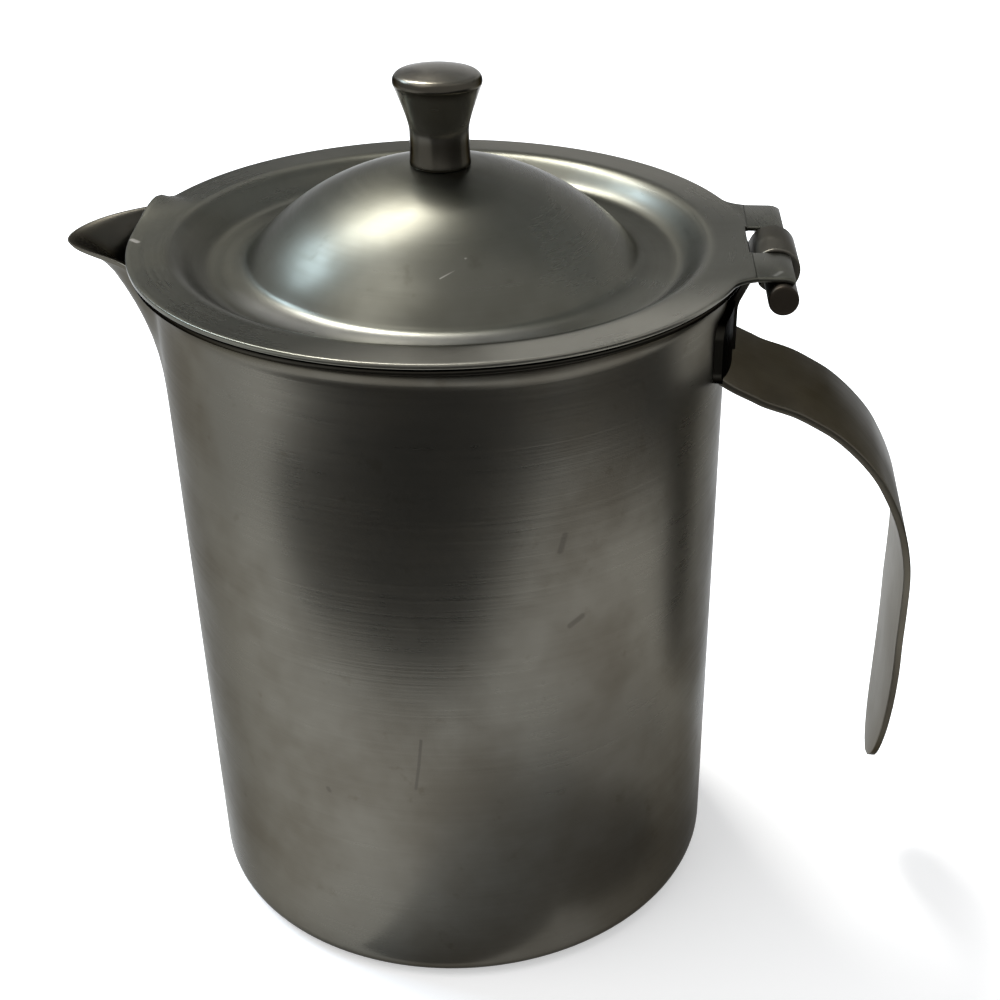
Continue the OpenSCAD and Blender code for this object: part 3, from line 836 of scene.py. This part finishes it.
floor_paint = bpy.data.materials.new("floor_paint")
floor_paint.use_nodes = True
tree = floor_paint.node_tree
tree.nodes.clear()
matt = tree.nodes.new("ShaderNodeBsdfDiffuse")
matt.inputs["Color"].default_value = tone(floor_tone, floor_tone, floor_tone)
lift = tree.nodes.new("ShaderNodeEmission")
lift.inputs["Color"].default_value = tone(1.0, 1.0, 1.0)
level = tree.nodes.new("ShaderNodeMath")
level.operation = "MULTIPLY"
level.inputs[1].default_value = floor_lift
tree.links.new(seen_by(tree, "Is Camera Ray", "Is Glossy Ray"), level.inputs[0])
tree.links.new(level.outputs[0], lift.inputs["Strength"])
both = tree.nodes.new("ShaderNodeAddShader")
out = tree.nodes.new("ShaderNodeOutputMaterial")
tree.links.new(matt.outputs[0], both.inputs[0])
tree.links.new(lift.outputs[0], both.inputs[1])
tree.links.new(both.outputs[0], out.inputs["Surface"])
stage_plane("floor", [(x * floor_half, y * floor_half, floor_z)
                      for x, y in ((-1, -1), (1, -1), (1, 1), (-1, 1))], floor_paint)

# Cards lie and stand round the set, and only reflections see them. They give the metal its dark parts.
# The dark one lies in front; the grey ones take away a share of the light only.
card_z = 0.002
card_dark, card_grey, card_pale = 0.02, 0.62, 0.68
sky_right, sky_back = 0.50, 0.30


def card(name, corners, share, faces=None):
    """A matt card that gives back a share of the light and shows in nothing but reflections."""
    paint = bpy.data.materials.new(name + "_paint")
    paint.use_nodes = True
    shader = paint.node_tree.nodes["Principled BSDF"]
    shader.inputs["Base Color"].default_value = tone(share, share, share)
    shader.inputs["Roughness"].default_value = 1.0
    plane = stage_plane(name, corners, paint, faces)
    plane.visible_camera = False
    plane.visible_diffuse = False
    plane.visible_shadow = False
    plane.visible_transmission = False
    return plane


def floor_card(name, outline, z, share):
    """A card that lies on the floor."""
    return card(name, [(x, y, z) for x, y in outline], share)


floor_card("card_front",
           ((-0.190, -0.60), (-0.190, -0.095), (-0.125, -0.096), (-0.095, -0.104), (-0.060, -0.118),
            (-0.030, -0.120), (0.01, -0.124), (0.04, -0.130), (0.07, -0.146), (0.12, -0.158),
            (0.18, -0.13), (0.19, -0.06), (0.195, 0.06), (0.9, 0.06), (0.9, -0.60)), card_z, card_dark)
# card_near is a painted shadow: a grey card where the jug's shadow falls on the floor, seen only in
# reflections.
floor_card("card_near",
           ((-0.015, -0.045), (0.03, -0.046), (0.052, -0.02), (0.07, -0.02), (0.064, -0.07),
            (0.03, -0.095), (0.0, -0.088)), card_z / 2, card_grey)
floor_card("card_left",
           ((-0.175, -0.095), (-0.168, -0.03), (-0.175, 0.02), (-0.6, 0.05), (-0.6, -0.095)),
           card_z, card_pale)


def sky_card(name, azimuths, elevations, distance, share):
    """A grey screen round a part of the sky, between two azimuths and two elevations in degrees."""
    n = 8
    centre_z = 0.1
    points = []
    for i in range(n + 1):
        for k in range(n + 1):
            a = math.radians(azimuths[0] + (azimuths[1] - azimuths[0]) * i / n)
            e = math.radians(elevations[0] + (elevations[1] - elevations[0]) * k / n)
            points.append((distance * math.cos(e) * math.cos(a), distance * math.cos(e) * math.sin(a),
                           centre_z + distance * math.sin(e)))
    faces = [(i * (n + 1) + k, (i + 1) * (n + 1) + k, (i + 1) * (n + 1) + k + 1, i * (n + 1) + k + 1)
             for i in range(n) for k in range(n)]
    return card(name, points, share, faces)


sky_distance = 0.9
sky_card("card_sky_right", (15, 100), (27, 85), sky_distance, sky_right)
sky_card("card_sky_back", (105, 134), (6, 42), sky_distance, sky_back)

# Soft light: a pale room, white where the camera sees it, with three windows from high at the far left
# round to the left, cooler the lower they are, and a broad weak light from the near left.
room_strength = 0.55
world = bpy.data.worlds.new("room")
world.use_nodes = True
tree = world.node_tree
tree.nodes.clear()
white = tree.nodes.new("ShaderNodeBackground")
white.inputs["Color"].default_value = tone(1.0, 1.0, 1.0)
white.inputs["Strength"].default_value = 1.0
grey = tree.nodes.new("ShaderNodeBackground")
grey.inputs["Color"].default_value = tone(0.95, 0.97, 1.0)
grey.inputs["Strength"].default_value = room_strength
pick = tree.nodes.new("ShaderNodeMixShader")
out = tree.nodes.new("ShaderNodeOutputWorld")
tree.links.new(seen_by(tree, "Is Camera Ray", "Is Glossy Ray", "Is Transmission Ray"), pick.inputs[0])
tree.links.new(grey.outputs[0], pick.inputs[1])
tree.links.new(white.outputs[0], pick.inputs[2])
tree.links.new(pick.outputs[0], out.inputs["Surface"])
bpy.context.scene.world = world

aim = Vector((0.0, 0.0, 0.10))


def window(name, azimuth, elevation, distance, size, power, colour):
    """A soft area lamp seen from the jug at an azimuth and elevation in degrees."""
    a, e = math.radians(azimuth), math.radians(elevation)
    data = bpy.data.lights.new(name, "AREA")
    data.shape = "RECTANGLE"
    data.size, data.size_y = size
    data.energy = power
    data.color = colour
    lamp = bpy.data.objects.new(name, data)
    way = Vector((math.cos(e) * math.cos(a), math.cos(e) * math.sin(a), math.sin(e)))
    lamp.location = aim + way * distance
    lamp.rotation_euler = way.to_track_quat("Z", "Y").to_euler()
    bpy.context.scene.collection.objects.link(lamp)
    return lamp


window("window_far_left", 130, 61, 1.2, (0.40, 0.26), 15.0, (1.0, 0.99, 0.96))
window("window_between", 147, 52, 1.25, (0.34, 0.24), 7.0, (0.92, 0.96, 1.0))
window("window_left", 160, 38, 1.3, (0.36, 0.28), 7.5, (0.62, 0.80, 1.0))
window("room_light", -150, 60, 1.6, (0.9, 0.9), 7.0, (1.0, 0.98, 0.95))

# The camera stands where the photograph was taken: a little above, and slightly round to the right.
camera_place = Vector((35.962, -240.624, 204.797)) * MM
camera_right = Vector((0.99842, 0.05432, 0.01403))
camera_down = Vector((0.04131, -0.5426, -0.83898))
camera_ahead = Vector((-0.03796, 0.83823, -0.54399))
frame_width = 36.0
focal_share = 1.6397
camera_shift = 0.1
camera_data = bpy.data.cameras.new("camera")
camera_data.sensor_width = frame_width
camera_data.lens = focal_share * frame_width
camera_data.shift_x = -camera_shift
camera_data.shift_y = camera_shift
camera_data.clip_start = 10 * MM
camera = bpy.data.objects.new("camera", camera_data)
turn = Matrix((camera_right, -camera_down, -camera_ahead)).transposed()
camera.matrix_world = Matrix.Translation(camera_place) @ turn.to_4x4()
bpy.context.scene.collection.objects.link(camera)
bpy.context.scene.camera = camera
bpy.context.scene.view_settings.view_transform = "Standard"
